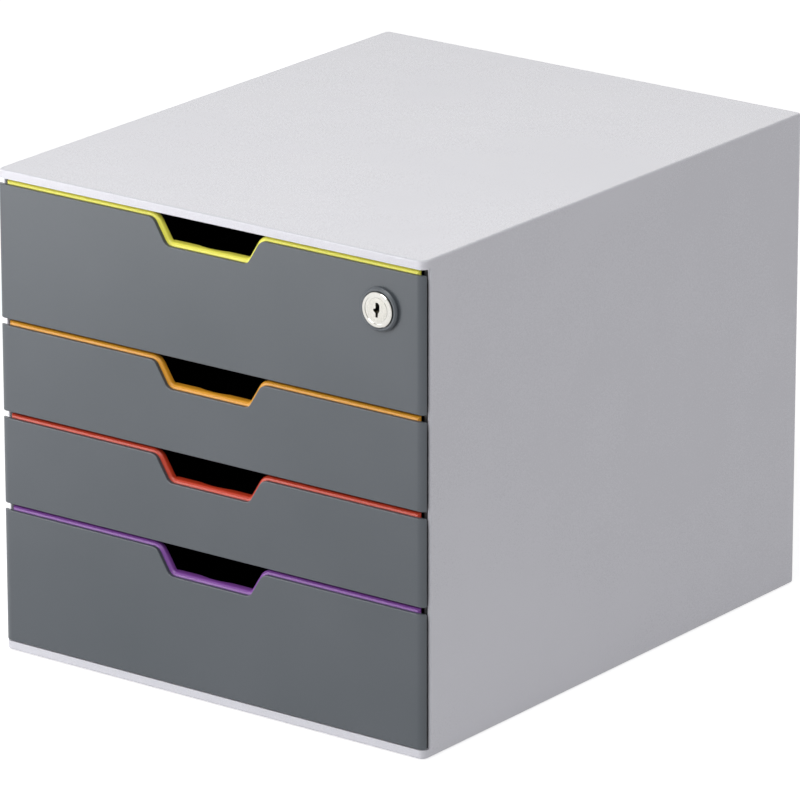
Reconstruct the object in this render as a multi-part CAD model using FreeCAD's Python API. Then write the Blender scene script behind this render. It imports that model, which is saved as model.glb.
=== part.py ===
import FreeCAD, Part
import math
import os

# Desktop drawer box: a moulded casing with four pull-out drawers and a cam lock in the top drawer.
# Lengths are in millimetres. +Z is up, the drawers open towards -Y, and X runs across the front.
# The origin is the middle of the space that the box takes up, on the surface that it stands on.

Vec = FreeCAD.Vector

# Overall size
casing_width = 292.0
casing_depth = 356.0
casing_height = 280.0
lip_height = 5.0                 # front edge of the top plate and of the bottom plate
bay_unit_shares = [3, 2, 2, 3]   # height of each bay in units, from the top drawer down
drawer_names = ["top_drawer", "second_drawer", "third_drawer", "bottom_drawer"]
drawer_travel = 260.0            # how far a drawer slides out before its stop
cut_overrun = 5.0                # how far a cutting shape reaches past what it cuts
seat_gap = 0.2                   # assembly clearance between pieces that don't move
running_gap = 0.3                # clearance of everything that slides
full_turn = 360.0                # degrees
rounding_steps = 3               # flat steps that round off an edge

# Casing shell
side_wall = 2.4
plate_skin = 2.8
back_wall = 2.8
lip_depth = 3.2                  # how far back the thick front edge of a plate goes
mouth_setback = 5.4              # the side walls start this far behind the front plane
lip_corner_radius = 4.0
rear_corner_radius = 2.5
plate_edge_radius = 1.0
mouth_edge_radius = 1.2          # rounding of the side walls' outer front edges
mouth_inner_bevel = 1.0
plate_rib_width = 1.8
plate_rib_shares = [0.0, 0.32, 0.6]   # places of the stiffening ribs, as shares of the half width

# Rubber feet
foot_radius = 9.0
foot_stand = 1.2                 # height of the feet below the casing
foot_recess = 1.2
foot_inset = 24.0                # centre of a foot from the casing's edges

# Runner racks inside the side walls
rack_web = 1.6
rail_reach = 4.6
rail_root = 1.8                  # thickness of a rail at the web
rail_tip = 1.2
runner_thickness = 2.0
runner_reach = 3.6               # width of the drawer's runner rib
runner_front_set = 12.0          # the runner rib starts this far behind the front plane
runner_rear_set = 6.0            # and ends this far before the back of the tray
stop_front_set = 12.0            # place of the drawer stops behind the front plane
stop_length = 4.0
stop_reach = 1.2
lug_length = 12.0

# Drawer fronts
panel_thickness = 2.2
panel_return_depth = 2.5         # the ends of a front reach back this far
panel_return_width = 2.5
panel_end_run = 5.0              # the bend at a front's end starts this far from the end
panel_end_fall = 2.2             # and drops back this far
panel_corner_radius = 0.8        # rounding of the corners, seen from the front
panel_edge_radius = 0.4
panel_top_gap = 3.4              # from the front's top edge up to the top of its bay
panel_bottom_gap = 0.6
panel_rib_width = 1.4
panel_rib_shares = [0.17, 0.43, 0.69, 0.92]   # places of the spacer ribs, as shares of the half width
panel_rib_margin = 4.0
panel_rib_drop = 24.0            # from the front's top edge down to the spacer ribs

# Finger notch in the top edge of each front
notch_top_width = 73.8
notch_bottom_width = 55.5
notch_depth = 14.7
notch_top_radius = 6.0
notch_bottom_radius = 5.0

# Colour strip that caps the drawer's front wall
strip_proud = 2.2                # how far the strip stands above the front's edge
strip_sink = 0.7                 # and how far its web reaches below that edge
strip_edge_radius = 2.0          # rounding of the strip's upper front edge
strip_end_radius = 1.5           # rounding of the strip's ends, seen from above
strip_front_skirt = 0.8          # thickness of the leg between the front and the tray
strip_front_drop = 6.0           # height of that leg
strip_rear_skirt = 0.8
strip_rear_drop = 5.0
strip_end_inset = 5.0            # from the end of the front to the end of the strip
ledge_reach = 6.8                # the grip ledge in the notch ends this far behind the front plane
ledge_scoop_width = 20.8
ledge_scoop_depth = 1.4

# Drawer trays
tray_wall = 1.6
tray_floor = 2.0
tray_float = 1.0                 # height of the tray's underside above the bottom of its bay
tray_length = 345.0              # from the front plane to the back of the tray
tray_side_gap = 0.6              # between the tray and the tips of the rails
tray_plan_radius = 6.0
tray_draft = 1.0                 # how far the side and rear walls of the pocket lean in at the floor
face_plate_inset = 4.8           # from the end of the front to the end of the tray's front wall
face_plate_margin = 2.0          # from the lower edge of the front up to the tray's front wall

# Snap hooks that hold the front to the tray
hook_place_share = 0.59          # place of the hooks, as a share of the half width
hook_width = 10.0
hook_thickness = 1.6
hook_barb = 0.8
hook_reach = 2.0                 # how far a hook stands out behind the tray's front wall
hook_low_level = 9.0             # above the lower edge of the front
hook_high_drop = 22.0            # below the upper edge of the front
hook_slot_gap = 0.3

# Cam lock in the top drawer
lock_edge_set = 28.6             # from the casing's side to the lock's axis
lock_drop = 31.0                 # from the casing's top to the lock's axis
collar_radius = 12.2
collar_height = 2.6
collar_bevel = 0.9
collar_seat = 1.0                # floor of the collar, under the lock's head
collar_gap = 0.5                 # dark ring between the collar and the lock's head
head_radius = 9.8
head_proud = 1.0                 # how far the lock's head stands out of the collar
head_bevel = 0.35                # bevel of the head's front edge
head_dish = 0.35                 # the flat inside the rim lies this far back
head_rim_width = 1.5
barrel_radius = 8.6
barrel_flat = 7.6                # from the axis to each flat of the barrel
barrel_reach = 18.0              # rear end of the barrel behind the front plane
lock_hole_gap = 0.2
nut_across = 24.0
nut_sides = 6
nut_thickness = 4.0
plug_radius = 6.75
plug_fit = 0.05
plug_proud = 0.15
plug_shoulder_gap = 0.4
tang_side = 7.0
tang_length = 1.9
keyway_height = 8.1
keyway_width = 1.8
keyway_depth = 12.0
cam_thickness = 2.0
cam_reach = 25.5
cam_hub_radius = 8.0
cam_tip_radius = 5.0
cam_hole_gap = 0.1
screw_head_radius = 4.2
screw_head_height = 2.2
screw_shank_radius = 2.0
screw_shank_length = 8.0
screw_slot_width = 1.0
screw_slot_depth = 0.8
strike_width = 28.0
strike_thickness = 1.5
strike_base = 9.0                # how far the strike's base leg reaches forward
strike_clearance = 0.6           # from the strike back to the cam
strike_float = 0.6               # from the rim of the tray up to the strike
strike_screw_inset = 5.0         # from the strike's ends to its screws
strike_boss_radius = 3.2
strike_head_radius = 2.2
strike_head_height = 1.2
strike_shank_radius = 1.1
strike_shank_length = 4.0

# Sizes that follow from those above
half_width = casing_width / 2
unit_pitch = (casing_height - 2 * lip_height) / sum(bay_unit_shares)
lock_reach = collar_height + head_proud
front_y = (lock_reach - casing_depth) / 2
base_z = foot_stand
top_z = base_z + casing_height
inner_half = half_width - side_wall
back_inner_y = front_y + casing_depth - back_wall
web_half = inner_half - rack_web
rail_tip_half = web_half - rail_reach
tray_half = rail_tip_half - tray_side_gap
pocket_half = tray_half - tray_wall
groove_height = runner_thickness + 2 * running_gap
closeness = seat_gap / 2         # places closer than this count as the same one
panel_back_y = front_y + panel_thickness
face_front_y = panel_back_y + strip_front_skirt
face_back_y = face_front_y + tray_wall
strip_back_y = face_back_y + strip_rear_skirt
rack_front_y = strip_back_y + running_gap
tray_back_y = front_y + tray_length
stop_back_y = front_y + stop_front_set + stop_length
lock_x = half_width - lock_edge_set
lock_z = top_z - lock_drop
barrel_back_y = front_y + barrel_reach
cam_front_y = barrel_back_y + plug_shoulder_gap
cam_back_y = cam_front_y + cam_thickness
strike_back_y = cam_front_y - strike_clearance
strike_seat_z = top_z - lip_height


def block(x_low, x_high, y_low, y_high, z_low, z_high):
    return Part.makeBox(x_high - x_low, y_high - y_low, z_high - z_low, Vec(x_low, y_low, z_low))


def rod(radius, y_low, y_high, x, z):
    # A cylinder that lies along Y.
    return Part.makeCylinder(radius, y_high - y_low, Vec(x, y_low, z), Vec(0, 1, 0))


def chain(points, arcs):
    # Joins points by lines; where arcs holds a middle point for a stretch, by that arc.
    edges = []
    for index in range(len(points) - 1):
        start = points[index]
        end = points[index + 1]
        if index in arcs:
            edges.append(Part.Arc(start, arcs[index], end).toShape())
        else:
            edges.append(Part.makeLine(start, end))
    return edges


def rounded_plan(half, y_low, y_high, front_radius, rear_radius, z):
    # A level rectangle about x = 0 with round corners, as a closed wire.
    front_turn = front_radius * (1 - math.sqrt(0.5))
    rear_turn = rear_radius * (1 - math.sqrt(0.5))
    points = [
        Vec(-half + front_radius, y_low, z),
        Vec(half - front_radius, y_low, z),
        Vec(half, y_low + front_radius, z),
        Vec(half, y_high - rear_radius, z),
        Vec(half - rear_radius, y_high, z),
        Vec(-half + rear_radius, y_high, z),
        Vec(-half, y_high - rear_radius, z),
        Vec(-half, y_low + front_radius, z),
        Vec(-half + front_radius, y_low, z),
    ]
    arcs = {
        1: Vec(half - front_turn, y_low + front_turn, z),
        3: Vec(half - rear_turn, y_high - rear_turn, z),
        5: Vec(-half + rear_turn, y_high - rear_turn, z),
        7: Vec(-half + front_turn, y_low + front_turn, z),
    }
    return Part.Wire(chain(points, arcs))


def upright_slab(wire, z_low, z_high):
    return Part.Face(wire).extrude(Vec(0, 0, z_high - z_low))


def notched_edge(half, top, lift, y):
    # The top edge of a front with its finger notch, from -x to +x.
    # A lift moves the whole line out of the front, square to itself.
    run = (notch_top_width - notch_bottom_width) / 2
    slope = math.atan2(notch_depth, run)
    lean = math.tan(slope / 2)
    upper = notch_top_radius + lift
    lower = notch_bottom_radius - lift
    level = top + lift
    floor = level - notch_depth
    shoulder = notch_top_width / 2 - lift * lean
    foot = notch_bottom_width / 2 - lift * lean
    sink = math.sin(slope)
    out = math.cos(slope)
    half_sine = math.sin(slope / 2)
    half_cosine = math.cos(slope / 2)
    right = [
        (foot - lower * lean, floor),
        (foot + lower * lean * out, floor + lower * lean * sink),
        (shoulder - upper * lean * out, level - upper * lean * sink),
        (shoulder + upper * lean, level),
        (half, level),
    ]
    low_arc = (foot - lower * lean + lower * half_sine, floor + lower * (1 - half_cosine))
    high_arc = (shoulder + upper * lean - upper * half_sine, level - upper * (1 - half_cosine))
    points = [Vec(-x, y, z) for x, z in reversed(right)]
    points += [Vec(x, y, z) for x, z in right]
    arcs = {
        1: Vec(-high_arc[0], y, high_arc[1]),
        3: Vec(-low_arc[0], y, low_arc[1]),
        5: Vec(low_arc[0], y, low_arc[1]),
        7: Vec(high_arc[0], y, high_arc[1]),
    }
    return points, arcs


def notched_band(half, upper, lower, y_low, y_high):
    # The band between two notched edges, each given by its top and its lift.
    upper_points, upper_arcs = notched_edge(half, upper[0], upper[1], y_low)
    lower_points, lower_arcs = notched_edge(half, lower[0], lower[1], y_low)
    edges = chain(upper_points, upper_arcs)
    edges.append(Part.makeLine(upper_points[-1], lower_points[-1]))
    edges += chain(lower_points, lower_arcs)
    edges.append(Part.makeLine(lower_points[0], upper_points[0]))
    wire = Part.Wire(Part.__sortEdges__(edges))
    return Part.Face(wire).extrude(Vec(0, y_high - y_low, 0))


def plate_outline(half, top, lift, bottom, y):
    # A notched edge with square corners below it.
    points, arcs = notched_edge(half, top, lift, y)
    points += [Vec(half, y, bottom), Vec(-half, y, bottom), points[0]]
    return Part.Wire(chain(points, arcs))


def edges_where(shape, test):
    chosen = []
    for edge in shape.Edges:
        if test(edge.BoundBox):
            chosen.append(edge)
    return chosen


def edge_steps(radius):
    # Insets and depths of the lines that round off an edge in flat steps.
    steps = []
    for index in range(rounding_steps + 1):
        turn = math.pi / 2 * index / rounding_steps
        steps.append((radius * (1 - math.sin(turn)), radius * (1 - math.cos(turn))))
    return steps


def near(value, target):
    return abs(value - target) < closeness


def bay_levels():
    # Bottom and top of each bay, from the top drawer down.
    levels = []
    top = top_z - lip_height
    for units in bay_unit_shares:
        bottom = top - units * unit_pitch
        levels.append((bottom, top))
        top = bottom
    return levels


def front_levels(bay):
    return bay[0] + panel_bottom_gap, bay[1] - panel_top_gap


def groove_level(index):
    # Running surface of a groove, counted in units from the floor of the lowest bay.
    return base_z + lip_height + index * unit_pitch


def casing_plan(inset, z):
    # The casing's outline seen from above, drawn in by an inset all round.
    front_radius = lip_corner_radius - inset
    rear_radius = rear_corner_radius - inset
    rear_y = front_y + casing_depth - inset
    return rounded_plan(half_width - inset, front_y + inset, rear_y, front_radius, rear_radius, z)


def mouth_edges(shell, y, reach):
    # The upright edges at the front of the side walls.
    def fits(box):
        return box.ZLength > unit_pitch and near(box.YMin, y) and near(abs(box.XMin), reach)

    return edges_where(shell, fits)


def make_casing_shell():
    steps = edge_steps(plate_edge_radius)
    lower_rim = [casing_plan(inset, base_z + depth) for inset, depth in steps]
    upper_rim = [casing_plan(inset, top_z - depth) for inset, depth in reversed(steps)]
    shell = Part.makeLoft(lower_rim + upper_rim, True, True)
    cavity_low = base_z + plate_skin
    cavity_high = top_z - plate_skin
    cavity_front = front_y + lip_depth
    cavity = block(-inner_half, inner_half, cavity_front, back_inner_y, cavity_low, cavity_high)
    shell = shell.cut(cavity)
    wide = half_width + cut_overrun
    mouth_back = front_y + mouth_setback
    mouth_low = base_z + lip_height
    mouth_high = top_z - lip_height
    shell = shell.cut(block(-wide, wide, front_y - cut_overrun, mouth_back, mouth_low, mouth_high))

    shell = shell.makeFillet(mouth_edge_radius, mouth_edges(shell, mouth_back, half_width))
    shell = shell.makeChamfer(mouth_inner_bevel, mouth_edges(shell, mouth_back, inner_half))
    shell = shell.fuse(make_plate_ribs(cavity_front, cavity_low, cavity_high))
    pilot_radius = strike_shank_radius + seat_gap / 2
    for x, y in strike_screw_places():
        seat = Vec(x, y, strike_seat_z)
        shell = shell.fuse(Part.makeCylinder(strike_boss_radius, cavity_high - strike_seat_z, seat))
        shell = shell.cut(Part.makeCylinder(pilot_radius, strike_shank_length, seat))
    recess_radius = foot_radius + seat_gap / 2
    for x, y in foot_places():
        below = Vec(x, y, base_z - cut_overrun)
        shell = shell.cut(Part.makeCylinder(recess_radius, foot_recess + cut_overrun, below))
    return shell.removeSplitter()


def make_plate_ribs(cavity_front, cavity_low, cavity_high):
    # Ribs along the floor and the ceiling; the outermost ones hold the racks against the walls.
    middles = []
    for share in plate_rib_shares:
        middles += [share * half_width, -share * half_width]
    keeper = web_half - seat_gap - plate_rib_width / 2
    middles += [keeper, -keeper]
    ribs = []
    rib_height = lip_height - plate_skin
    for middle in sorted(set(middles)):
        left = middle - plate_rib_width / 2
        right = middle + plate_rib_width / 2
        for low in (cavity_low, cavity_high - rib_height):
            ribs.append(block(left, right, cavity_front, back_inner_y, low, low + rib_height))
    return ribs


def strike_screw_places():
    y = strike_back_y - strike_thickness - (strike_base - strike_thickness) / 2
    reach = strike_width / 2 - strike_screw_inset
    return [(lock_x - reach, y), (lock_x + reach, y)]


def foot_places():
    places = []
    for y in (front_y + foot_inset, front_y + casing_depth - foot_inset):
        for x in (-half_width + foot_inset, half_width - foot_inset):
            places.append((x, y))
    return places


def make_foot(place):
    x, y = place
    return Part.makeCylinder(foot_radius, foot_stand + foot_recess, Vec(x, y, 0))


def make_runner_rack(side):
    # A comb of grooves, one for every unit of height, so that any drawer fits at any level.
    low = base_z + plate_skin
    high = top_z - plate_skin - seat_gap
    outline = [(inner_half, low), (inner_half, high), (web_half, high)]
    groove_count = sum(bay_unit_shares) - 1
    for index in range(groove_count, 0, -1):
        level = groove_level(index)
        ceiling = level + groove_height
        outline.append((web_half, ceiling + rail_root))
        outline.append((rail_tip_half, ceiling + rail_tip))
        outline.append((rail_tip_half, ceiling))
        outline.append((web_half, ceiling))
        outline.append((web_half, level))
        outline.append((rail_tip_half, level))
        outline.append((rail_tip_half, level - rail_tip))
        outline.append((web_half, level - rail_root))
    outline.append((web_half, low))
    outline.append(outline[0])
    points = [Vec(side * x, rack_front_y, z) for x, z in outline]
    length = back_inner_y - seat_gap - rack_front_y
    rack = Part.Face(Part.makePolygon(points)).extrude(Vec(0, length, 0))
    stops = []
    left, right = sorted((side * web_half, side * (web_half - stop_reach)))
    stop_front_y = stop_back_y - stop_length
    for index in range(1, groove_count + 1):
        level = groove_level(index)
        stops.append(block(left, right, stop_front_y, stop_back_y, level, level + groove_height))
    return rack.fuse(stops).removeSplitter()


def make_tray(bay, has_lock):
    # The drawer's box: a pocket with leaning walls, a wide front wall and a runner rib on each side.
    panel_low, panel_high = front_levels(bay)
    floor_z = bay[0] + tray_float
    rim_z = panel_high - strip_sink
    plan = rounded_plan(tray_half, face_front_y, tray_back_y, tray_wall, tray_plan_radius, floor_z)
    tray = upright_slab(plan, floor_z, rim_z)
    face_half = half_width - face_plate_inset
    face_low = panel_low + face_plate_margin
    before = face_front_y - cut_overrun
    above = rim_z + cut_overrun
    tray = tray.cut(block(-half_width, half_width, before, face_back_y, floor_z, above))
    outline = plate_outline(face_half, panel_high, -strip_sink, face_low, face_front_y)
    face = Part.Face(outline).extrude(Vec(0, tray_wall, 0))
    apron = block(-tray_half, tray_half, face_front_y, face_back_y, floor_z, face_low)
    tray = tray.fuse([face, apron])
    tray = tray.cut(make_pocket(floor_z + tray_floor, rim_z))
    for side in (-1, 1):
        tray = tray.fuse(make_runner(side, bay))
    behind = face_back_y + tray_wall
    slot_half = hook_width / 2 + hook_slot_gap
    for x, z in hook_places(bay):
        low = z - hook_barb - hook_slot_gap
        high = z + hook_thickness + hook_slot_gap
        tray = tray.cut(block(x - slot_half, x + slot_half, before, behind, low, high))
    if has_lock:
        tray = tray.cut(rod(barrel_radius + lock_hole_gap, before, behind, lock_x, lock_z))
    return tray.removeSplitter()


def make_pocket(floor_z, rim_z):
    rear = tray_back_y - tray_wall
    radius = tray_plan_radius - tray_wall
    above = rim_z + cut_overrun
    upper = rounded_plan(pocket_half, face_back_y, rear, radius, radius, rim_z)
    lower_half = pocket_half - tray_draft
    lower = rounded_plan(lower_half, face_back_y, rear - tray_draft, radius, radius, floor_z)
    pocket = Part.makeLoft([lower, upper], True, True)
    return pocket.fuse(upright_slab(upper, rim_z, above))


def make_runner(side, bay):
    # The rib that rides in the groove one unit below the top of the bay, with its stop lug.
    level = bay[1] - unit_pitch + running_gap
    top = level + runner_thickness
    left, right = sorted((side * (tray_half - tray_wall / 2), side * (tray_half + runner_reach)))
    rib = block(left, right, front_y + runner_front_set, tray_back_y - runner_rear_set, level, top)
    lug_front = stop_back_y + drawer_travel + running_gap
    left, right = sorted((side * tray_half, side * (web_half - running_gap)))
    return rib.fuse(block(left, right, lug_front, lug_front + lug_length, level, top))


def hook_places(bay):
    panel_low, panel_high = front_levels(bay)
    places = []
    for side in (-1, 1):
        x = side * hook_place_share * half_width
        places.append((x, panel_low + hook_low_level))
        places.append((x, panel_high - hook_high_drop))
    return places


def make_hook(place):
    # A tab through the tray's front wall with a barb that catches behind it.
    left = place[0] - hook_width / 2
    under = place[1]
    top = under + hook_thickness
    tip_y = face_back_y + hook_reach
    barb_y = face_back_y + seat_gap
    profile = [
        Vec(left, panel_back_y, under),
        Vec(left, panel_back_y, top),
        Vec(left, tip_y, top),
        Vec(left, tip_y, under + hook_thickness / 2),
        Vec(left, barb_y, under - hook_barb),
        Vec(left, barb_y, under),
        Vec(left, panel_back_y, under),
    ]
    return Part.Face(Part.makePolygon(profile)).extrude(Vec(hook_width, 0, 0))


def front_outline(bay, inset, y):
    # Outline of a drawer front, seen from the front, drawn in by an inset all round.
    low, high = front_levels(bay)
    radius = panel_corner_radius - inset
    turn = radius * (1 - math.sqrt(0.5))
    side = half_width - inset
    floor = low + inset
    crest = high - inset
    points, arcs = notched_edge(side - radius, high, -inset, y)
    last = len(points) - 1
    points += [
        Vec(side, y, crest - radius),
        Vec(side, y, floor + radius),
        Vec(side - radius, y, floor),
        Vec(-side + radius, y, floor),
        Vec(-side, y, floor + radius),
        Vec(-side, y, crest - radius),
        points[0],
    ]
    arcs[last] = Vec(side - turn, y, crest - turn)
    arcs[last + 2] = Vec(side - turn, y, floor + turn)
    arcs[last + 4] = Vec(-side + turn, y, floor + turn)
    arcs[last + 6] = Vec(-side + turn, y, crest - turn)
    return Part.Wire(chain(points, arcs))


def front_plan(back, z):
    # A front seen from above: flat, with ends that bend back in an arc.
    radius = (panel_end_run ** 2 + panel_end_fall ** 2) / (2 * panel_end_fall)
    half_bend = math.asin(panel_end_run / radius) / 2
    flat = half_width - panel_end_run
    bend_x = flat + radius * math.sin(half_bend)
    bend_y = front_y + radius * (1 - math.cos(half_bend))
    points = [
        Vec(-flat, front_y, z),
        Vec(flat, front_y, z),
        Vec(half_width, front_y + panel_end_fall, z),
        Vec(half_width, back, z),
        Vec(-half_width, back, z),
        Vec(-half_width, front_y + panel_end_fall, z),
        Vec(-flat, front_y, z),
    ]
    arcs = {1: Vec(bend_x, bend_y, z), 5: Vec(-bend_x, bend_y, z)}
    return Part.Wire(chain(points, arcs))


def make_front(bay, has_lock):
    # The dark front: a thin plate with bent ends, a finger notch, spacer ribs and hooks.
    low, high = front_levels(bay)
    back = front_y + panel_return_depth
    steps = edge_steps(panel_edge_radius)
    rim = [front_outline(bay, inset, front_y + depth) for inset, depth in steps]
    rim.append(front_outline(bay, 0, back))
    silhouette = Part.makeLoft(rim, True, True)
    over_low = low - cut_overrun
    over_high = high + cut_overrun
    bar = upright_slab(front_plan(back, over_low), over_low, over_high)
    hollow = half_width - panel_return_width
    bar = bar.cut(block(-hollow, hollow, panel_back_y, back, over_low, over_high))
    front = bar.common(silhouette)
    rib_top = high - panel_rib_drop
    ribs = []
    for share in panel_rib_shares:
        for side in (-1, 1):
            left = side * share * half_width - panel_rib_width / 2
            right = left + panel_rib_width
            ribs.append(block(left, right, panel_back_y, face_front_y, low + panel_rib_margin, rib_top))
    hooks = [make_hook(place) for place in hook_places(bay)]
    front = front.fuse(ribs + hooks)
    if has_lock:
        before = front_y - cut_overrun
        front = front.cut(rod(barrel_radius + lock_hole_gap, before, face_front_y, lock_x, lock_z))
    return front.removeSplitter()


def make_colour_strip(bay):
    # A channel over the tray's front wall that follows the notch, with a grip ledge in it.
    top = front_levels(bay)[1]
    reach = half_width - strip_end_inset
    crest = (top, strip_proud)
    web = notched_band(reach, crest, (top, -strip_sink), panel_back_y, strip_back_y)
    front_leg = notched_band(reach, crest, (top - strip_front_drop, 0), panel_back_y, face_front_y)
    strip = web.fuse(front_leg).removeSplitter()
    bottom = top - notch_depth - strip_front_drop - cut_overrun
    wide = reach + cut_overrun
    rim = []
    for inset, depth in edge_steps(strip_edge_radius):
        rim.append(plate_outline(wide, top, strip_proud - inset, bottom, panel_back_y + depth))
    rim.append(plate_outline(wide, top, strip_proud, bottom, strip_back_y))
    strip = strip.common(Part.makeLoft(rim, True, True))
    above = top + strip_proud
    ends = rounded_plan(reach, panel_back_y, strip_back_y, strip_end_radius, strip_end_radius, above)
    strip = strip.common(Part.Face(ends).extrude(Vec(0, 0, bottom - above)))
    inside = pocket_half - tray_plan_radius + tray_wall - seat_gap
    rear_leg = notched_band(inside, crest, (top - strip_rear_drop, 0), face_back_y, strip_back_y)
    ledge = make_ledge(top)
    return strip.fuse([rear_leg, ledge]).removeSplitter()


def make_ledge(top):
    # The shelf at the bottom of the notch, with a shallow scoop in its rear edge.
    run = (notch_top_width - notch_bottom_width) / 2
    lean = math.tan(math.atan2(notch_depth, run) / 2)
    half = notch_bottom_width / 2 - strip_proud * lean
    rear = front_y + ledge_reach
    low = top - notch_depth - strip_sink
    high = top - notch_depth + strip_proud
    shelf = block(-half, half, face_back_y, rear, low, high)
    half_scoop = ledge_scoop_width / 2
    scoop_radius = (half_scoop ** 2 + ledge_scoop_depth ** 2) / (2 * ledge_scoop_depth)
    centre = Vec(0, rear - ledge_scoop_depth + scoop_radius, low - cut_overrun)
    scoop = Part.makeCylinder(scoop_radius, high - low + 2 * cut_overrun, centre)
    return shelf.cut(scoop)


def revolved(profile):
    # Turns a profile of (radius, y) pairs about the lock's axis.
    points = [Vec(lock_x + radius, y, lock_z) for radius, y in profile]
    points.append(points[0])
    axis_point = Vec(lock_x, 0, lock_z)
    return Part.Face(Part.makePolygon(points)).revolve(axis_point, Vec(0, 1, 0), full_turn)


def square_bar(half, y_low, y_high):
    # A square bar along the lock's axis.
    return block(lock_x - half, lock_x + half, y_low, y_high, lock_z - half, lock_z + half)


def make_lock_collar():
    crown = front_y - collar_height
    bore = head_radius + collar_gap
    hole = barrel_radius + lock_hole_gap
    return revolved([
        (hole, front_y),
        (collar_radius, front_y),
        (collar_radius, crown + collar_bevel),
        (collar_radius - collar_bevel, crown),
        (bore, crown),
        (bore, front_y - collar_seat),
        (hole, front_y - collar_seat),
    ])


def make_lock_housing():
    # Round polished head with a bevel and a raised rim, then the barrel with its two flats.
    seat = front_y - collar_seat
    face = front_y - lock_reach
    before = face - cut_overrun
    rim_outer = head_radius - head_bevel
    rim_inner = rim_outer - head_rim_width
    head = revolved([
        (0, seat),
        (head_radius, seat),
        (head_radius, face + head_bevel),
        (rim_outer, face),
        (rim_inner, face),
        (rim_inner, face + head_dish),
        (0, face + head_dish),
    ])
    barrel = rod(barrel_radius, seat, barrel_back_y, lock_x, lock_z)
    high = lock_z + barrel_radius
    low = lock_z - barrel_radius
    flats = block(lock_x - barrel_flat, lock_x + barrel_flat, seat, barrel_back_y, low, high)
    housing = head.fuse(barrel.common(flats))
    bore = rod(plug_radius + plug_fit, before, barrel_back_y + cut_overrun, lock_x, lock_z)
    return housing.cut(bore).removeSplitter()


def make_lock_nut():
    # A thin nut behind the tray's front wall, with two of its corners up and down.
    half_side_turn = math.pi / nut_sides
    corner = nut_across / 2 / math.cos(half_side_turn)
    points = []
    for index in range(nut_sides + 1):
        angle = 2 * half_side_turn * index
        x = lock_x + corner * math.sin(angle)
        z = lock_z + corner * math.cos(angle)
        points.append(Vec(x, face_back_y, z))
    nut = Part.Face(Part.makePolygon(points)).extrude(Vec(0, nut_thickness, 0))
    before = face_back_y - cut_overrun
    behind = face_back_y + nut_thickness + cut_overrun
    return nut.cut(rod(barrel_radius + seat_gap / 2, before, behind, lock_x, lock_z))


def make_lock_plug():
    # The turning core: keyway in front, square tang for the cam behind.
    face = front_y - lock_reach + head_dish - plug_proud
    core = rod(plug_radius, face, cam_front_y, lock_x, lock_z)
    plug = core.fuse(square_bar(tang_side / 2, cam_front_y, cam_front_y + tang_length))
    outline_shares = [
        (-0.5, 1.0), (0.45, 1.0), (0.97, 0.72), (0.97, -0.08), (0.45, -0.45), (0.3, -1.0),
        (-0.5, -1.0), (-0.5, -0.43), (-1.28, -0.18), (-1.28, 0.08), (-0.5, 0.22),
    ]
    points = []
    for across_share, up_share in outline_shares:
        across = across_share * keyway_width
        points.append(Vec(lock_x + across, face - cut_overrun, lock_z + up_share * keyway_height / 2))
    points.append(points[0])
    keyway = Part.Face(Part.makePolygon(points)).extrude(Vec(0, keyway_depth + cut_overrun, 0))
    hole_radius = screw_shank_radius + seat_gap / 2
    screw_hole = rod(hole_radius, cam_back_y - screw_shank_length, cam_back_y, lock_x, lock_z)
    return plug.cut(keyway).cut(screw_hole).removeSplitter()


def make_lock_cam():
    # A flat arm with round ends; at rest it points to the middle of the drawer.
    tip_x = lock_x - cam_reach + cam_tip_radius
    hub = rod(cam_hub_radius, cam_front_y, cam_back_y, lock_x, lock_z)
    tip = rod(cam_tip_radius, cam_front_y, cam_back_y, tip_x, lock_z)
    lean = math.asin((cam_hub_radius - cam_tip_radius) / (lock_x - tip_x))
    sides = []
    for x, radius in ((lock_x, cam_hub_radius), (tip_x, cam_tip_radius)):
        sides.append((x - radius * math.sin(lean), radius * math.cos(lean)))
    points = [
        Vec(sides[0][0], cam_front_y, lock_z + sides[0][1]),
        Vec(sides[1][0], cam_front_y, lock_z + sides[1][1]),
        Vec(sides[1][0], cam_front_y, lock_z - sides[1][1]),
        Vec(sides[0][0], cam_front_y, lock_z - sides[0][1]),
    ]
    points.append(points[0])
    arm = Part.Face(Part.makePolygon(points)).extrude(Vec(0, cam_thickness, 0))
    hole_half = tang_side / 2 + cam_hole_gap
    hole = square_bar(hole_half, cam_front_y - cut_overrun, cam_back_y + cut_overrun)
    return arm.fuse([hub, tip]).cut(hole).removeSplitter()


def slotted_screw(head_radius, head_height, shank_radius, shank_length):
    # The head's underside is at the origin; the head lies above it and the shank below.
    head = Part.makeCylinder(head_radius, head_height)
    shank = Part.makeCylinder(shank_radius, shank_length, Vec(0, 0, -shank_length))
    wide = head_radius + cut_overrun
    slot_low = head_height - screw_slot_depth
    half = screw_slot_width / 2
    slot = block(-wide, wide, -half, half, slot_low, head_height + cut_overrun)
    return head.fuse(shank).cut(slot).removeSplitter()


def turned_to(shape, direction, place):
    shape.Placement = FreeCAD.Placement(place, FreeCAD.Rotation(Vec(0, 0, 1), direction))
    return shape


def make_cam_screw():
    screw = slotted_screw(screw_head_radius, screw_head_height, screw_shank_radius, screw_shank_length)
    return turned_to(screw, Vec(0, 1, 0), Vec(lock_x, cam_back_y, lock_z))


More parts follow.
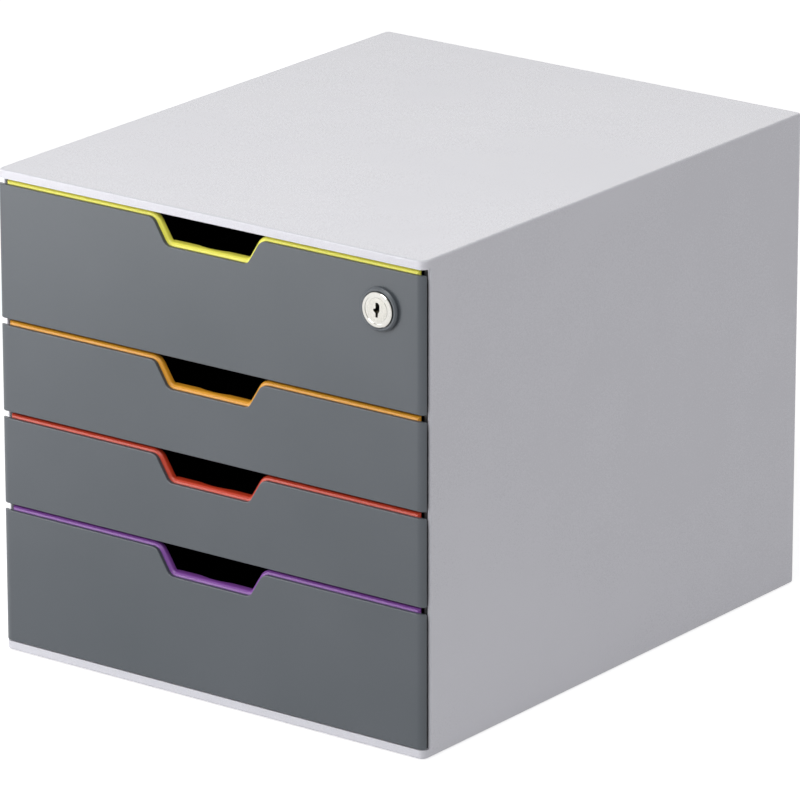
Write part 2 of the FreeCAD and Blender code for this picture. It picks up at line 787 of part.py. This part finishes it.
def make_lock_strike():
    # An angle under the top plate; the turned cam stands behind its short leg.
    left = lock_x - strike_width / 2
    low = front_levels(bay_levels()[0])[1] - strip_sink + strike_float
    profile = [
        Vec(left, strike_back_y, strike_seat_z),
        Vec(left, strike_back_y - strike_base, strike_seat_z),
        Vec(left, strike_back_y - strike_base, strike_seat_z - strike_thickness),
        Vec(left, strike_back_y - strike_thickness, strike_seat_z - strike_thickness),
        Vec(left, strike_back_y - strike_thickness, low),
        Vec(left, strike_back_y, low),
        Vec(left, strike_back_y, strike_seat_z),
    ]
    strike = Part.Face(Part.makePolygon(profile)).extrude(Vec(strike_width, 0, 0))
    over = strike_seat_z - strike_thickness - cut_overrun
    for x, y in strike_screw_places():
        hole = Part.makeCylinder(strike_shank_radius + seat_gap / 2, 2 * cut_overrun, Vec(x, y, over))
        strike = strike.cut(hole)
    return strike


def make_strike_screws():
    sizes = (strike_head_radius, strike_head_height, strike_shank_radius, strike_shank_length)
    seat_z = strike_seat_z - strike_thickness
    screws = []
    for x, y in strike_screw_places():
        screws.append(turned_to(slotted_screw(*sizes), Vec(0, 0, -1), Vec(x, y, seat_z)))
    return Part.makeCompound(screws)


def make_all():
    parts = {"casing_shell": make_casing_shell()}
    parts["runner_rack_left"] = make_runner_rack(-1)
    parts["runner_rack_right"] = make_runner_rack(1)
    foot_names = ["foot_front_left", "foot_front_right", "foot_rear_left", "foot_rear_right"]
    for name, place in zip(foot_names, foot_places()):
        parts[name] = make_foot(place)
    for index, (name, bay) in enumerate(zip(drawer_names, bay_levels())):
        has_lock = index == 0
        parts[name + "_tray"] = make_tray(bay, has_lock)
        parts[name + "_front"] = make_front(bay, has_lock)
        parts[name + "_colour_strip"] = make_colour_strip(bay)
    parts["lock_collar"] = make_lock_collar()
    parts["lock_housing"] = make_lock_housing()
    parts["lock_nut"] = make_lock_nut()
    parts["lock_plug"] = make_lock_plug()
    parts["lock_cam"] = make_lock_cam()
    parts["lock_cam_screw"] = make_cam_screw()
    parts["lock_strike"] = make_lock_strike()
    parts["lock_strike_screws"] = make_strike_screws()
    return parts


os.makedirs("parts", exist_ok=True)
for part_name, solid in make_all().items():
    solid.exportStep(os.path.join("parts", part_name + ".step"))
    box = solid.BoundBox
    print(part_name, len(solid.Solids), solid.isValid(), round(solid.Volume), box)
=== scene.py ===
import math
import bmesh
import bpy
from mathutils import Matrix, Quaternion, Vector


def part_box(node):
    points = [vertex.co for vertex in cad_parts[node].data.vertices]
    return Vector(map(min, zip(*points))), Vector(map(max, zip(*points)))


# Desktop drawer box: finishes, stage, lamps and camera. Lengths are in metres.
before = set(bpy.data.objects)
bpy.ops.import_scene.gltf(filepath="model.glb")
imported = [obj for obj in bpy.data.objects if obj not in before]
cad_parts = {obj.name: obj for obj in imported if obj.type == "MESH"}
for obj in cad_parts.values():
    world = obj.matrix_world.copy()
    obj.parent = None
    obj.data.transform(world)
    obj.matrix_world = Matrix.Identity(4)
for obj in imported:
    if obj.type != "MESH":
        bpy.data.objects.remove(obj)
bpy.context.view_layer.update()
print("frame loaded with", len(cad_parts), "nodes")


# Shared by every finish: how noise is made, and the middle range in which most of it lies
noiseLook = {"detail": 2.0, "roughness": 0.55, "low": 0.3, "high": 0.7}
bumpStrength = 1.0


def newFinish(name):
    material = bpy.data.materials.new(name)
    material.use_nodes = True
    return material, material.node_tree.nodes["Principled BSDF"]


def addNode(material, kind, **values):
    node = material.node_tree.nodes.new(kind)
    for label, value in values.items():
        node.inputs[label].default_value = value
    return node


def join(material, start, end):
    material.node_tree.links.new(start, end)


def objectPlace(material):
    return addNode(material, "ShaderNodeTexCoord").outputs["Object"]


def noiseField(material, place, scale, detail=noiseLook["detail"]):
    noise = addNode(material, "ShaderNodeTexNoise", Scale=scale, Detail=detail)
    noise.inputs["Roughness"].default_value = noiseLook["roughness"]
    join(material, place, noise.inputs["Vector"])
    return noise.outputs["Fac"]


def scaled(material, field, low, high):
    # Spreads the middle range of a noise field over low to high.
    spread = addNode(material, "ShaderNodeMapRange")
    spread.inputs["From Min"].default_value = noiseLook["low"]
    spread.inputs["From Max"].default_value = noiseLook["high"]
    spread.inputs["To Min"].default_value = low
    spread.inputs["To Max"].default_value = high
    join(material, field, spread.inputs["Value"])
    return spread.outputs["Result"]


def toneRamp(material, field, darkTone, lightTone):
    ramp = addNode(material, "ShaderNodeValToRGB")
    darkEnd, lightEnd = ramp.color_ramp.elements
    darkEnd.position = noiseLook["low"]
    darkEnd.color = (*darkTone, 1)
    lightEnd.position = noiseLook["high"]
    lightEnd.color = (*lightTone, 1)
    join(material, field, ramp.inputs["Fac"])
    return ramp.outputs["Color"]


def weighed(material, first, second, share):
    # Mixes two noise fields into one.
    blend = addNode(material, "ShaderNodeMix")
    blend.inputs[0].default_value = share
    join(material, first, blend.inputs[2])
    join(material, second, blend.inputs[3])
    return blend.outputs[0]


def raised(material, field, depth, under=None):
    # A bump from a field, on top of another bump if one is given.
    bump = addNode(material, "ShaderNodeBump", Strength=bumpStrength, Distance=depth)
    join(material, field, bump.inputs["Height"])
    if under:
        join(material, under, bump.inputs["Normal"])
    return bump.outputs["Normal"]


# Every moulded plastic: detail of its grain and waves, and the grain's share in the gloss
plasticLook = {"grainDetail": 3.0, "waveDetail": 0.0, "glossGrainShare": 0.5}


def mouldedPlastic(name, look):
    # Injection-moulded plastic: cloudy pigment, spark-eroded grain and a slight waviness.
    material, shader = newFinish(name)
    place = objectPlace(material)
    clouds = noiseField(material, place, look["cloudScale"])
    grain = noiseField(material, place, look["grainScale"], plasticLook["grainDetail"])
    waves = noiseField(material, place, look["waveScale"], plasticLook["waveDetail"])
    pigment = weighed(material, clouds, grain, look["grainShare"])
    tone = toneRamp(material, pigment, look["darkTone"], look["lightTone"])
    join(material, tone, shader.inputs["Base Color"])
    patches = weighed(material, clouds, grain, plasticLook["glossGrainShare"])
    gloss = scaled(material, patches, look["roughLow"], look["roughHigh"])
    join(material, gloss, shader.inputs["Roughness"])
    wavy = raised(material, waves, look["waveDepth"])
    grainy = raised(material, grain, look["grainDepth"], wavy)
    join(material, grainy, shader.inputs["Normal"])
    shader.inputs["IOR"].default_value = look["ior"]
    return material


def dress(names, material):
    for name in names:
        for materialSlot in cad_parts[name].material_slots:
            materialSlot.material = material


# Casing: light grey, satin
casingLook = {
    "darkTone": (0.718, 0.714, 0.766),
    "lightTone": (0.760, 0.756, 0.809),
    "cloudScale": 9.0,
    "grainScale": 1900.0,
    "grainShare": 0.35,
    "grainDepth": 0.000012,
    "waveScale": 14.0,
    "waveDepth": 0.00006,
    "roughLow": 0.24,
    "roughHigh": 0.32,
    "ior": 1.50,
}
dress(["casing_shell"], mouldedPlastic("casing_light_grey", casingLook))

# Runner racks: tones made near black as painted shade, so the gaps above and beside the fronts
# read black; hidden behind the fronts
rackPaintedShadeLook = dict(
    casingLook,
    darkTone=(0.040, 0.041, 0.044),
    lightTone=(0.055, 0.056, 0.060),
    roughLow=0.38,
    roughHigh=0.5,
)
racks = ["runner_rack_left", "runner_rack_right"]
dress(racks, mouldedPlastic("rack_painted_shade_black", rackPaintedShadeLook))

# Drawer fronts and the lock's collar: slate grey, satin
frontLook = {
    "darkTone": (0.086, 0.099, 0.112),
    "lightTone": (0.101, 0.113, 0.128),
    "cloudScale": 11.0,
    "grainScale": 2300.0,
    "grainShare": 0.4,
    "grainDepth": 0.000014,
    "waveScale": 18.0,
    "waveDepth": 0.00005,
    "roughLow": 0.30,
    "roughHigh": 0.36,
    "ior": 1.50,
}
drawers = ["top_drawer", "second_drawer", "third_drawer", "bottom_drawer"]
frontFinish = mouldedPlastic("front_slate", frontLook)
dress([drawer + "_front" for drawer in drawers] + ["lock_collar"], frontFinish)

# Drawer trays: darker and duller than the fronts
trayLook = dict(
    frontLook,
    darkTone=(0.045, 0.050, 0.055),
    lightTone=(0.060, 0.066, 0.072),
    roughLow=0.5,
    roughHigh=0.62,
)
trayFinish = mouldedPlastic("tray_dark_slate", trayLook)
dress([drawer + "_tray" for drawer in drawers], trayFinish)

# Colour strips, from the top drawer down
stripTones = {
    "top_drawer": (0.95, 0.90, 0.110),
    "second_drawer": (0.82, 0.36, 0.022),
    "third_drawer": (0.60, 0.048, 0.016),
    "bottom_drawer": (0.23, 0.066, 0.36),
}
stripLook = {
    "darkShare": 0.93,
    "cloudScale": 30.0,
    "grainScale": 2600.0,
    "grainShare": 0.4,
    "grainDepth": 0.000008,
    "waveScale": 40.0,
    "waveDepth": 0.00002,
    "roughLow": 0.36,
    "roughHigh": 0.44,
    "ior": 1.50,
}


def stripFinish(drawer):
    tone = stripTones[drawer]
    darkTone = tuple(stripLook["darkShare"] * part for part in tone)
    return mouldedPlastic("strip_" + drawer, dict(stripLook, darkTone=darkTone, lightTone=tone))


for drawer in drawers:
    dress([drawer + "_colour_strip"], stripFinish(drawer))
print("plastics dressed")

# Rubber feet
footLook = dict(
    trayLook,
    darkTone=(0.018, 0.018, 0.019),
    lightTone=(0.032, 0.032, 0.034),
    roughLow=0.7,
    roughHigh=0.85,
)
feet = ["foot_front_left", "foot_front_right", "foot_rear_left", "foot_rear_right"]
dress(feet, mouldedPlastic("foot_rubber", footLook))


def metalFinish(name, look):
    # Turned or plated metal: faint rings about the lock's axis and a few fine pits.
    material, shader = newFinish(name)
    place = objectPlace(material)
    toAxis = addNode(material, "ShaderNodeMapping")
    toAxis.inputs["Location"].default_value = tuple(-part for part in lockAxis)
    join(material, place, toAxis.inputs["Vector"])
    squash = addNode(material, "ShaderNodeMapping")
    squash.inputs["Scale"].default_value = (1.0, 0.0, 1.0)
    join(material, toAxis.outputs["Vector"], squash.inputs["Vector"])
    reach = addNode(material, "ShaderNodeVectorMath")
    reach.operation = "LENGTH"
    join(material, squash.outputs["Vector"], reach.inputs[0])
    ringNoise = addNode(material, "ShaderNodeTexNoise", Scale=look["ringScale"])
    ringNoise.inputs["Detail"].default_value = noiseLook["detail"]
    ringNoise.noise_dimensions = "1D"
    join(material, reach.outputs["Value"], ringNoise.inputs["W"])
    rings = ringNoise.outputs["Fac"]
    pits = noiseField(material, place, look["pitScale"])
    tone = toneRamp(material, pits, look["darkTone"], look["lightTone"])
    join(material, tone, shader.inputs["Base Color"])
    wear = weighed(material, rings, pits, look["pitShare"])
    gloss = scaled(material, wear, look["roughLow"], look["roughHigh"])
    join(material, gloss, shader.inputs["Roughness"])
    join(material, raised(material, rings, look["ringDepth"]), shader.inputs["Normal"])
    shader.inputs["Metallic"].default_value = 1.0
    return material


# Lock: polished head, satin core, zinc-plated parts behind
plugLow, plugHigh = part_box("lock_plug")
lockAxis = (plugLow + plugHigh) / 2
chromeLook = {
    "darkTone": (0.60, 0.59, 0.55),
    "lightTone": (0.65, 0.64, 0.60),
    "ringScale": 900.0,
    "ringDepth": 0.000002,
    "pitScale": 1500.0,
    "pitShare": 0.5,
    "roughLow": 0.05,
    "roughHigh": 0.10,
}
nickelLook = dict(
    chromeLook,
    darkTone=(0.48, 0.47, 0.43),
    lightTone=(0.54, 0.53, 0.49),
    roughLow=0.16,
    roughHigh=0.24,
)
zincLook = dict(
    chromeLook,
    darkTone=(0.50, 0.51, 0.52),
    lightTone=(0.62, 0.63, 0.64),
    roughLow=0.28,
    roughHigh=0.42,
)
dress(["lock_housing"], metalFinish("lock_chrome", chromeLook))
dress(["lock_plug"], metalFinish("lock_nickel", nickelLook))
zincParts = ["lock_nut", "lock_cam", "lock_cam_screw", "lock_strike", "lock_strike_screws"]
dress(zincParts, metalFinish("lock_zinc", zincLook))
print("lock dressed")

# Stage: one wide pale floor, with a glow that the camera sees and a fainter one for mirrors
floorLook = {
    "size": 24.0,
    "cells": 8,
    "tone": (0.60, 0.60, 0.61),
    "lift": 0.78,
    "mirrorLift": 0.55,
}
worldLook = {"ambient": 0.20, "backdrop": 1.0}


def shownShare(tree):
    # 1 for what the camera, a mirror or glass sees, and 0 for light that falls on the object.
    path = tree.nodes.new("ShaderNodeLightPath")
    total = path.outputs["Is Camera Ray"]
    for label in ("Is Glossy Ray", "Is Transmission Ray"):
        either = tree.nodes.new("ShaderNodeMath")
        either.operation = "MAXIMUM"
        tree.links.new(total, either.inputs[0])
        tree.links.new(path.outputs[label], either.inputs[1])
        total = either.outputs[0]
    return total


def makeFloor():
    shape = bmesh.new()
    cells = floorLook["cells"]
    bmesh.ops.create_grid(shape, x_segments=cells, y_segments=cells, size=floorLook["size"] / 2)
    mesh = bpy.data.meshes.new("stage_floor")
    shape.to_mesh(mesh)
    shape.free()
    floor = bpy.data.objects.new("stage_floor", mesh)
    bpy.context.collection.objects.link(floor)
    material = bpy.data.materials.new("stage_floor")
    material.use_nodes = True
    tree = material.node_tree
    tree.nodes.clear()
    paint = tree.nodes.new("ShaderNodeBsdfDiffuse")
    paint.inputs["Color"].default_value = (*floorLook["tone"], 1)
    glow = tree.nodes.new("ShaderNodeEmission")
    path = tree.nodes.new("ShaderNodeLightPath")
    seen = tree.nodes.new("ShaderNodeMath")
    seen.operation = "MULTIPLY"
    seen.inputs[1].default_value = floorLook["lift"]
    tree.links.new(path.outputs["Is Camera Ray"], seen.inputs[0])
    strength = tree.nodes.new("ShaderNodeMath")
    strength.operation = "MULTIPLY_ADD"
    strength.inputs[1].default_value = floorLook["mirrorLift"]
    tree.links.new(path.outputs["Is Glossy Ray"], strength.inputs[0])
    tree.links.new(seen.outputs[0], strength.inputs[2])
    tree.links.new(strength.outputs[0], glow.inputs["Strength"])
    both = tree.nodes.new("ShaderNodeAddShader")
    tree.links.new(paint.outputs[0], both.inputs[0])
    tree.links.new(glow.outputs[0], both.inputs[1])
    end = tree.nodes.new("ShaderNodeOutputMaterial")
    tree.links.new(both.outputs[0], end.inputs["Surface"])
    mesh.materials.append(material)


def makeWorld():
    world = bpy.data.worlds.new("studio")
    bpy.context.scene.world = world
    world.use_nodes = True
    tree = world.node_tree
    light = tree.nodes["Background"]
    light.inputs["Color"].default_value = (1, 1, 1, 1)
    strength = tree.nodes.new("ShaderNodeMapRange")
    strength.inputs["To Min"].default_value = worldLook["ambient"]
    strength.inputs["To Max"].default_value = worldLook["backdrop"]
    tree.links.new(shownShare(tree), strength.inputs["Value"])
    tree.links.new(strength.outputs["Result"], light.inputs["Strength"])


makeFloor()
makeWorld()

# Lamps: place, aim point, size across and up, power in watts
lamps = {
    "key_softbox": {
        "place": (0.1, -1.7, 1.8), "aim": (0.0, -0.1, 0.2), "size": (1.4, 1.4), "power": 26.5,
    },
    "low_softbox": {
        "place": (-1.1, -1.35, 0.4), "aim": (0.0, -0.17, 0.15), "size": (1.0, 0.7), "power": 7.5,
    },
    "floor_card": {
        "place": (-0.66, -0.86, 0.06), "aim": (-0.1, -0.17, 0.2), "size": (0.9, 0.5), "power": 3.0,
    },
    "side_softbox": {
        "place": (2.1, 0.5, 0.9), "aim": (0.15, 0.0, 0.14), "size": (1.6, 1.6), "power": 10.5,
    },
    "back_softbox": {
        "place": (-1.15, 1.95, 1.25), "aim": (0.0, 0.0, 0.28), "size": (2.2, 0.9), "power": 6.4,
    },
}


def makeLamp(name, sizes):
    data = bpy.data.lights.new(name, "AREA")
    data.shape = "RECTANGLE"
    data.size, data.size_y = sizes["size"]
    data.energy = sizes["power"]
    lamp = bpy.data.objects.new(name, data)
    lamp.location = sizes["place"]
    away = Vector(sizes["place"]) - Vector(sizes["aim"])
    lamp.rotation_mode = "QUATERNION"
    lamp.rotation_quaternion = away.to_track_quat("Z", "Y")
    bpy.context.collection.objects.link(lamp)


for lampName, lampSizes in lamps.items():
    makeLamp(lampName, lampSizes)

# Camera: right of the fronts and above, with a long lens
cameraView = {
    "azimuth": 36.873,
    "elevation": 18.261,
    "roll": -0.037,
    "distance": 3.9819,
    "aim": (-0.00002, -0.00269, 0.13035),
    "lens": 319.2,
    "sensor": 36.0,
    "nearest": 0.1,
    "farthest": 60.0,
}


def makeCamera():
    data = bpy.data.cameras.new("photo_camera")
    data.lens = cameraView["lens"]
    data.sensor_width = cameraView["sensor"]
    data.clip_start = cameraView["nearest"]
    data.clip_end = cameraView["farthest"]
    camera = bpy.data.objects.new("photo_camera", data)
    turn = math.radians(cameraView["azimuth"])
    rise = math.radians(cameraView["elevation"])
    level = math.cos(rise)
    back = Vector((math.sin(turn) * level, -math.cos(turn) * level, math.sin(rise)))
    camera.location = Vector(cameraView["aim"]) + back * cameraView["distance"]
    camera.rotation_mode = "QUATERNION"
    roll = Quaternion((0, 0, 1), math.radians(cameraView["roll"]))
    camera.rotation_quaternion = back.to_track_quat("Z", "Y") @ roll
    bpy.context.collection.objects.link(camera)
    bpy.context.scene.camera = camera


makeCamera()
bpy.context.scene.view_settings.view_transform = "Standard"
print("stage, lamps and camera set")
